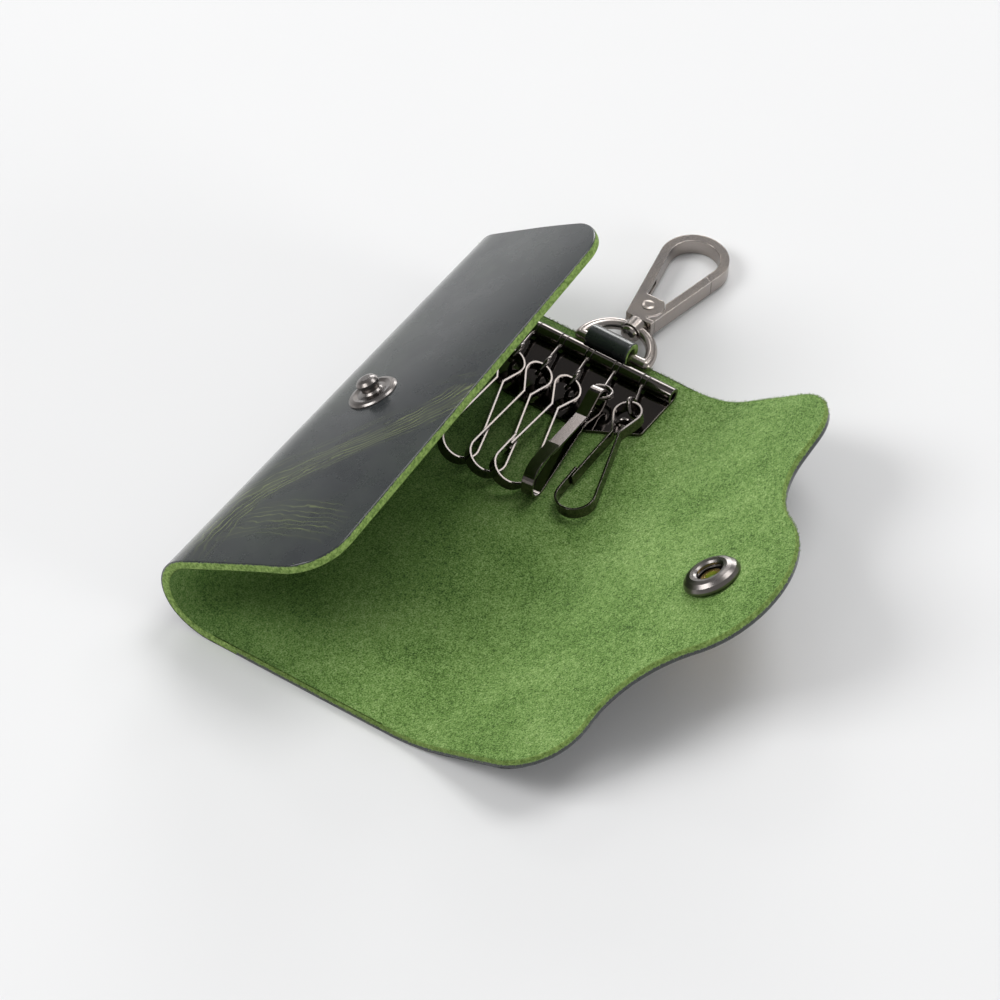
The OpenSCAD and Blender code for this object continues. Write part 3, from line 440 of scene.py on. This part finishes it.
def flapReach(c, xi):
    mid = c["tongueW"] - c["tongueR"]
    total = c["tongueR"] + c["shoulderR"]
    high = c["flapSide"] + np.where(xi > c["tongueX"], c["flapSlant"], -c["flapSlant"])
    rise = high + c["shoulderR"] - mid
    run = np.sqrt(total * total - rise * rise)
    touch = run * c["tongueR"] / total
    d = np.abs(xi - c["tongueX"])
    tongue = mid + np.sqrt(np.maximum(c["tongueR"] ** 2 - d * d, 0))
    hollow = high + c["shoulderR"] - np.sqrt(np.maximum(c["shoulderR"] ** 2 - (run - d) ** 2, 0))
    reach = np.where(d < touch, tongue, np.where(d < run, hollow, high))
    r = c["flapCorner"]
    over = np.clip(np.abs(xi) - (c["length"] / 2 - r), 0, r)
    return c["front"] + c["bendLength"] + reach - r + np.sqrt(np.maximum(r * r - over * over, 0))


# A sheet from a grid of flat points: two faces, rounded rims and, if cut, an end that meets its neighbour
def sheetMesh(name, grid, place, halfThick, cutEnd, mat, topDrop=None):
    cols, rows = grid.shape[:2]
    ringInset = [0.30, 0.10, 0.0, -0.03, 0.0, 0.10, 0.30]
    ringSide = [1.0, 0.90, 0.62, 0.0, -0.62, -0.90, -1.0]
    walk = [(0, j) for j in range(rows)] + [(i, rows - 1) for i in range(1, cols - 1)]
    walk += [(cols - 1, j) for j in range(rows - 1, -1, -1)]
    if not cutEnd:
        walk += [(i, 0) for i in range(cols - 2, 0, -1)]
    loop = np.array([grid[i, j] for i, j in walk])
    if cutEnd:
        tangent = np.gradient(loop, axis=0)
    else:
        tangent = np.roll(loop, -1, 0) - np.roll(loop, 1, 0)
    tangent /= np.linalg.norm(tangent, axis=1)[:, None]
    outward = np.stack([-tangent[:, 1], tangent[:, 0]], 1)
    centre = grid.reshape(-1, 2).mean(0)
    if np.sum(outward * (loop - centre)) < 0:
        outward = -outward
    flat = grid.copy()
    for k, (i, j) in enumerate(walk):
        flat[i, j] = loop[k] - outward[k] * ringInset[0]
    verts, side, rim, uv = [], [], [], []

    def put(points, n, r):
        start = len(verts)
        for p in points:
            verts.append((p[0], p[1], n))
            side.append(n)
            rim.append(r)
            uv.append((p[0] * mm, p[1] * mm))
        return start

    top = put(flat.reshape(-1, 2), 1.0, 0.0)
    low = put(flat.reshape(-1, 2), -1.0, 0.0)
    ringStart = [None] + [put(loop - outward * ringInset[r], ringSide[r], 1.0) for r in range(1, 6)] + [None]
    for i, j in walk:
        rim[top + i * rows + j] = 0.5
        rim[low + i * rows + j] = 0.5

    def ringVert(r, k):
        i, j = walk[k % len(walk)]
        if r == 0:
            return top + i * rows + j
        if r == 6:
            return low + i * rows + j
        return ringStart[r] + k % len(walk)

    faces = []
    for i in range(cols - 1):
        for j in range(rows - 1):
            a, b, c, d = i * rows + j, (i + 1) * rows + j, (i + 1) * rows + j + 1, i * rows + j + 1
            faces.append((top + a, top + b, top + c, top + d))
            faces.append((low + d, low + c, low + b, low + a))
    steps = len(walk) - 1 if cutEnd else len(walk)
    for k in range(steps):
        for r in range(6):
            faces.append((ringVert(r, k), ringVert(r, k + 1), ringVert(r + 1, k + 1), ringVert(r + 1, k)))
    if cutEnd:
        for i in range(1, cols - 2):
            faces.append((top + i * rows, low + i * rows, low + (i + 1) * rows, top + (i + 1) * rows))
        first, last = 0, len(walk) - 1
        faces.append([ringVert(r, first) for r in range(7)] + [low + rows, top + rows])
        faces.append([ringVert(r, last) for r in range(6, -1, -1)]
                     + [top + (cols - 2) * rows, low + (cols - 2) * rows])
    flatVerts = np.array(verts)
    n = flatVerts[:, 2] * halfThick(flatVerts)
    if topDrop is not None:
        n = n - np.where(flatVerts[:, 2] > 0.5, topDrop(flatVerts), 0)
    solid = place(flatVerts[:, 0], flatVerts[:, 1], n) * mm
    mesh = bpy.data.meshes.new(name)
    mesh.from_pydata(solid.tolist(), [], faces)
    mesh.attributes.new("side", "FLOAT", "POINT").data.foreach_set("value", np.array(side, dtype=np.float32))
    mesh.attributes.new("rim", "FLOAT", "POINT").data.foreach_set("value", np.array(rim, dtype=np.float32))
    layer = mesh.uv_layers.new(name="flat")
    corner = np.zeros(len(mesh.loops), dtype=np.int32)
    mesh.loops.foreach_get("vertex_index", corner)
    layer.data.foreach_set("uv", np.array(uv, dtype=np.float32)[corner].ravel())
    fixFacing(mesh)
    mesh.materials.append(mat)
    mesh.polygons.foreach_set("use_smooth", np.ones(len(mesh.polygons), dtype=bool))
    mesh.set_sharp_from_angle(angle=math.radians(50))
    ob = bpy.data.objects.new(name, mesh)
    bpy.context.scene.collection.objects.link(ob)
    return ob


def fixFacing(mesh):
    bm = bmesh.new()
    bm.from_mesh(mesh)
    bmesh.ops.recalc_face_normals(bm, faces=bm.faces)
    bm.to_mesh(mesh)
    bm.free()


def columnPlaces(c, corner, count):
    half = c["length"] / 2
    turn = np.sin(np.linspace(0, math.pi / 2, 13))[1:]
    edge = half - corner + corner * turn
    middle = np.linspace(-(half - corner), half - corner, count)
    return np.concatenate([-edge[::-1], middle, edge])


def rowShares(count, last):
    g = np.linspace(0, 1 - last, count)
    return np.append(g, 1.0)


def makeLeather(c):
    mat = leatherMaterial("coverLeather", coverMarks, c["coverRimNap"])
    backMat = leatherMaterial("backLeather", None, c["backRimNap"])

    def place(x, s, n):
        return sheetPoint(c, x, s, n)

    def halfThick(v):
        return c["thick"] / 2

    def pocket(v):      # the hollow that the strap's end lies in
        inX = v[:, 0] > strapShape["pocketX"]
        inY = (v[:, 1] > strapShape["near"] - c["pocketEdge"]) & (v[:, 1] < strapShape["far"] + c["pocketEdge"])
        return np.where(inX & inY, c["pocketDrop"], 0.0)

    xi = columnPlaces(c, c["coverCorner"], c["columns"])
    share = rowShares(c["coverRows"], c["coverLastRow"])
    reach = coverReach(c, xi)
    grid = np.stack([np.repeat(xi[:, None], len(share), 1), c["seam"] + (reach[:, None] - c["seam"]) * share[None]], -1)
    cover = sheetMesh("leatherCover", grid, place, halfThick, True, mat)
    xi = columnPlaces(c, c["flapCorner"], c["columns"])
    share = rowShares(c["backRows"], c["backLastRow"])
    reach = flapReach(c, xi)
    grid = np.stack([np.repeat(xi[:, None], len(share), 1), c["seam"] - (reach[:, None] + c["seam"]) * share[None]], -1)
    back = sheetMesh("leatherBack", grid, place, halfThick, True, backMat, pocket)
    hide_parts("cover_panel", "cover_fold")
    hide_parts("back_panel", "flap_fold", "flap_panel")
    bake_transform(cover)
    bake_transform(back)
    return cover, back


edgeFibres = {"density": 20.0e6, "length": 0.00050, "radius": 0.000036, "spread": 0.75, "bend": 0.5,
              "coverFrom": -0.75, "backFrom": 0.05, "backShort": 0.7, "seed": 7, "shade": 1300, "roughness": 0.9}


# Short fibres that stand out of the cut edge of the leather
def makeFibreTree(mat):
    tree = bpy.data.node_groups.new("cutEdgeFibres", "GeometryNodeTree")
    for label, kind in (("Geometry", "NodeSocketGeometry"), ("Density", "NodeSocketFloat"),
                        ("Length", "NodeSocketFloat"), ("Radius", "NodeSocketFloat"),
                        ("Spread", "NodeSocketFloat"), ("Bend", "NodeSocketFloat"),
                        ("From", "NodeSocketFloat"), ("Seed", "NodeSocketInt")):
        tree.interface.new_socket(name=label, in_out="INPUT", socket_type=kind)
    tree.interface.new_socket(name="Geometry", in_out="OUTPUT", socket_type="NodeSocketGeometry")
    i = tree.nodes.new("NodeGroupInput").outputs
    out = tree.nodes.new("NodeGroupOutput").inputs
    rim = addNode(tree, "GeometryNodeInputNamedAttribute", {"Name": "rim"}, data_type="FLOAT").outputs["Attribute"]
    side = addNode(tree, "GeometryNodeInputNamedAttribute", {"Name": "side"}, data_type="FLOAT").outputs["Attribute"]
    keep = calc(tree, "MULTIPLY", calc(tree, "GREATER_THAN", rim, 0.8), calc(tree, "GREATER_THAN", side, i["From"]))
    points = addNode(tree, "GeometryNodeDistributePointsOnFaces",
                     {"Mesh": i["Geometry"], "Selection": keep, "Density": i["Density"], "Seed": i["Seed"]})
    tip = addNode(tree, "ShaderNodeCombineXYZ",
                  {0: calc(tree, "MULTIPLY", i["Length"], i["Bend"]), 2: i["Length"]}).outputs[0]
    half = addNode(tree, "ShaderNodeCombineXYZ", {2: calc(tree, "MULTIPLY", i["Length"], 0.6)}).outputs[0]
    line = addNode(tree, "GeometryNodeCurveQuadraticBezier",
                   {"Resolution": 2, "Start": (0, 0, 0), "Middle": half, "End": tip}).outputs[0]
    profile = addNode(tree, "GeometryNodeCurvePrimitiveCircle", {"Resolution": 3, "Radius": i["Radius"]},
                      mode="RADIUS").outputs["Curve"]
    fibre = addNode(tree, "GeometryNodeCurveToMesh", {"Curve": line, "Profile Curve": profile}).outputs[0]
    lean = addNode(tree, "FunctionNodeRandomValue", {0: (-1.0, -1.0, -3.1), 1: (1.0, 1.0, 3.1), "Seed": i["Seed"]},
                   data_type="FLOAT_VECTOR").outputs[0]
    spread = addNode(tree, "ShaderNodeCombineXYZ", {0: i["Spread"], 1: i["Spread"], 2: 1.0}).outputs[0]
    lean = addNode(tree, "ShaderNodeVectorMath", {0: lean, 1: spread}, operation="MULTIPLY").outputs[0]
    leaning = addNode(tree, "FunctionNodeEulerToRotation", {0: lean}).outputs[0]
    turned = addNode(tree, "FunctionNodeRotateRotation", {0: points.outputs["Rotation"], 1: leaning},
                     rotation_space="LOCAL").outputs[0]
    size = addNode(tree, "FunctionNodeRandomValue", {2: 0.45, 3: 1.35, "Seed": 3}, data_type="FLOAT").outputs[1]
    placed = addNode(tree, "GeometryNodeInstanceOnPoints",
                     {"Points": points.outputs["Points"], "Instance": fibre,
                      "Rotation": turned, "Scale": size}).outputs[0]
    real = addNode(tree, "GeometryNodeRealizeInstances", {"Geometry": placed}).outputs[0]
    dressed = addNode(tree, "GeometryNodeSetMaterial", {"Geometry": real, "Material": mat}).outputs[0]
    tree.links.new(dressed, out["Geometry"])
    return tree


# A plain mesh of what a modifier tree makes on a piece, with the piece's own mesh left alone
def grownOn(base, name, tree, values):
    carrier = bpy.data.objects.new(name + "Carrier", base.data.copy())
    bpy.context.scene.collection.objects.link(carrier)
    mod = carrier.modifiers.new(name, "NODES")
    mod.node_group = tree
    for item in tree.interface.items_tree:
        if item.in_out == "INPUT" and item.name in values:
            mod[item.identifier] = values[item.name]
    grown = carrier.evaluated_get(bpy.context.evaluated_depsgraph_get())
    mesh = bpy.data.meshes.new_from_object(grown)
    carrier.modifiers.clear()
    bpy.data.objects.remove(carrier)
    ob = bpy.data.objects.new(name, mesh)
    bpy.context.scene.collection.objects.link(ob)
    return ob


def fibreMaterial(look):
    mat, tree, bsdf = newMaterial("edgeFibre")
    shade = noiseOut(tree, objectCoords(tree), look["shade"], 3, 0.6)
    colour = blendColour(tree, remap(tree, shade, 0.3, 0.7), rimLook["deep"], rimLook["light"])
    tree.links.new(colour, bsdf.inputs["Base Color"])
    bsdf.inputs["Roughness"].default_value = look["roughness"]
    return mat


def growFibres(cover, back, look):
    values = {name.capitalize(): look[name] for name in ("density", "radius", "spread", "bend", "seed")}
    tree = makeFibreTree(fibreMaterial(look))
    for base, name, lowest in ((cover, "coverEdgeFibres", look["coverFrom"]),
                               (back, "backEdgeFibres", look["backFrom"])):
        length = look["length"] * (1.0 if base is cover else look["backShort"])
        fuzz = grownOn(base, name, tree, {**values, "From": lowest, "Length": length})
        print(name, len(fuzz.data.polygons), "faces")
        if base is cover:
            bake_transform(fuzz)
        else:
            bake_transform(fuzz)


strapShape = {"near": -6.3, "far": 5.9, "loopFar": 3.6, "pocketX": 47.0, "narrowsAt": [50.0, 51.4],
              "loopShare": 0.72, "columns": 16, "steps": 8,
              "route": [(47.6, 1.5), (49.4, 1.5), (51.2, 1.56), (52.7, 1.66), (53.95, 2.14), (54.72, 3.25),
                        (54.88, 4.45), (54.36, 5.56), (53.2, 6.18), (52.1, 6.0), (51.3, 5.3), (51.02, 4.4),
                        (51.0, 3.6), (50.95, 2.7)],
              "thick": [1.0, 1.0, 1.1, 1.25, 1.3, 1.3, 1.3, 1.3, 1.3, 1.25, 1.1, 0.9, 0.8, 0.8]}


# A smooth curve through the points, with so many steps to each
def smoothRoute(points, per):
    p = np.array(points, float)
    p = np.vstack([2 * p[0] - p[1], p, 2 * p[-1] - p[-2]])
    out = []
    for k in range(1, len(p) - 2):
        for t in np.linspace(0, 1, per, endpoint=False):
            out.append(0.5 * ((2 * p[k]) + (p[k + 1] - p[k - 1]) * t
                              + (2 * p[k - 1] - 5 * p[k] + 4 * p[k + 1] - p[k + 2]) * t * t
                              + (3 * p[k] - p[k - 1] - 3 * p[k + 1] + p[k + 2]) * t ** 3))
    out.append(p[-2])
    return np.array(out)


def makeStrap(s, mat):
    route = smoothRoute([(x, z, t) for (x, z), t in zip(s["route"], s["thick"])], s["steps"])
    step = np.linalg.norm(np.diff(route[:, :2], axis=0), axis=1)
    length = np.concatenate([[0], np.cumsum(step)])
    direction = np.gradient(route[:, :2], length, axis=0)
    direction /= np.linalg.norm(direction, axis=1)[:, None]
    inward = np.stack([-direction[:, 1], direction[:, 0]], 1)
    grid = np.zeros((s["columns"], len(length), 2))
    farAt = np.interp(route[:, 0], s["narrowsAt"], [s["far"], s["loopFar"]])
    farAt = np.where(np.arange(len(length)) > len(length) * s["loopShare"], s["loopFar"], farAt)
    for i, a in enumerate(np.linspace(0, 1, s["columns"])):
        grid[i, :, 0] = s["near"] + (farAt - s["near"]) * a
        grid[i, :, 1] = length

    def place(y, along, n):
        cx = np.interp(along, length, route[:, 0])
        cz = np.interp(along, length, route[:, 1])
        nx = np.interp(along, length, inward[:, 0])
        nz = np.interp(along, length, inward[:, 1])
        return np.stack([cx + nx * n, y, cz + nz * n], -1)

    strap = sheetMesh("strapLoop", grid, place, lambda v: np.interp(v[:, 1], length, route[:, 2]) / 2, False, mat)
    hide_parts("clasp_strap")
    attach(strap, "back")


metalFinish = {"smudge": 180, "fine": 1800, "coatRough": 0.08, "bumpDistance": 0.0001, "bevelSamples": 6}
metalLooks = {
    "blackNickel": {"colour": (0.130, 0.116, 0.110), "roughness": 0.10, "spread": 0.05,
                    "bump": 0.015, "coat": 0.2, "edge": 0.00020},
    "gunmetalSatin": {"colour": (0.370, 0.338, 0.320), "roughness": 0.24, "spread": 0.05,
                      "bump": 0.015, "coat": 0.05, "edge": 0.00030},
    "gunmetalSnap": {"colour": (0.190, 0.176, 0.170), "roughness": 0.28, "spread": 0.10,
                     "bump": 0.05, "coat": 0.15, "edge": 0.00012},
    "brightSpring": {"colour": (0.45, 0.44, 0.43), "roughness": 0.25, "spread": 0.05,
                     "bump": 0.02, "coat": 0.0, "edge": 0.00005},
    "brightBrass": {"colour": (0.80, 0.60, 0.22), "roughness": 0.22, "spread": 0.08,
                    "bump": 0.03, "coat": 0.0, "edge": 0.00005},
}


def makeWearGroup():
    tree, i, o = newGroup("handledMetal",
                          [("Vector", "NodeSocketVector", (0, 0, 0)), ("Colour", "NodeSocketColor", (0, 0, 0)),
                           ("Roughness", "NodeSocketFloat", 0.3), ("Spread", "NodeSocketFloat", 0.1)],
                          [("Color", "NodeSocketColor"), ("Roughness", "NodeSocketFloat"),
                           ("Height", "NodeSocketFloat")])
    v = i["Vector"]
    smudge = noiseOut(tree, v, metalFinish["smudge"], 4, 0.6)
    fine = noiseOut(tree, v, metalFinish["fine"], 3, 0.6)
    rough = calc(tree, "ADD", i["Roughness"], calc(tree, "MULTIPLY", calc(tree, "SUBTRACT", smudge, 0.5), i["Spread"]))
    tree.links.new(rough, o["Roughness"])
    tint = blendColour(tree, remap(tree, smudge, 0.35, 0.7, 0.0, 0.35), i["Colour"], (1.25, 1.15, 1.0), "MULTIPLY")
    tree.links.new(tint, o["Color"])
    tree.links.new(fine, o["Height"])
    return tree


wearGroup = makeWearGroup()


def metalMaterial(name):
    look = metalLooks[name]
    mat, tree, bsdf = newMaterial(name)
    wear = addNode(tree, "ShaderNodeGroup", node_tree=wearGroup)
    tree.links.new(objectCoords(tree), wear.inputs["Vector"])
    wear.inputs["Colour"].default_value = rgba(look["colour"])
    wear.inputs["Roughness"].default_value = look["roughness"]
    wear.inputs["Spread"].default_value = look["spread"]
    tree.links.new(wear.outputs["Color"], bsdf.inputs["Base Color"])
    tree.links.new(wear.outputs["Roughness"], bsdf.inputs["Roughness"])
    bsdf.inputs["Metallic"].default_value = 1.0
    bsdf.inputs["Coat Weight"].default_value = look["coat"]
    bsdf.inputs["Coat Roughness"].default_value = metalFinish["coatRough"]
    eased = addNode(tree, "ShaderNodeBevel", {"Radius": look["edge"]},
                    samples=metalFinish["bevelSamples"]).outputs["Normal"]       # edges eased by tumbling and plating
    bump = addNode(tree, "ShaderNodeBump", {"Strength": look["bump"], "Distance": metalFinish["bumpDistance"],
                                            "Height": wear.outputs["Height"], "Normal": eased})
    tree.links.new(bump.outputs["Normal"], bsdf.inputs["Normal"])
    return mat


metalOf = {
    "blackNickel": ["hook_plate", "hook_rod", "plate_rivets", "rivet_caps"]
                   + [f"{kind}_{k}" for kind in ("link", "hook") for k in range(1, 6)],
    "gunmetalSatin": ["clasp_ring", "swivel_post", "clasp_body", "clasp_gate", "gate_pin"],
    "gunmetalSnap": ["snap_stud", "stud_post", "snap_socket"],
    "brightSpring": ["socket_spring", "gate_spring"],
    "brightBrass": ["socket_cap"],
}


def dressMetal():
    for look, names in metalOf.items():
        mat = metalMaterial(look)
        for name in names:
            ob = cadNode[name]
            if not ob.data.materials:
                ob.data.materials.append(mat)
            for slot in ob.material_slots:
                slot.link = "OBJECT"
                slot.material = mat


makeCamera(viewFrom)
makeStudio(studio)
print("camera and studio made")
cover, back = makeLeather(caseShape)
print("leather sheet made")
growFibres(cover, back, edgeFibres)
print("edge fibres grown")
makeStrap(strapShape, leatherMaterial("strapLeather", None, caseShape["coverRimNap"]))
print("strap made")
dressMetal()
print("metal dressed")
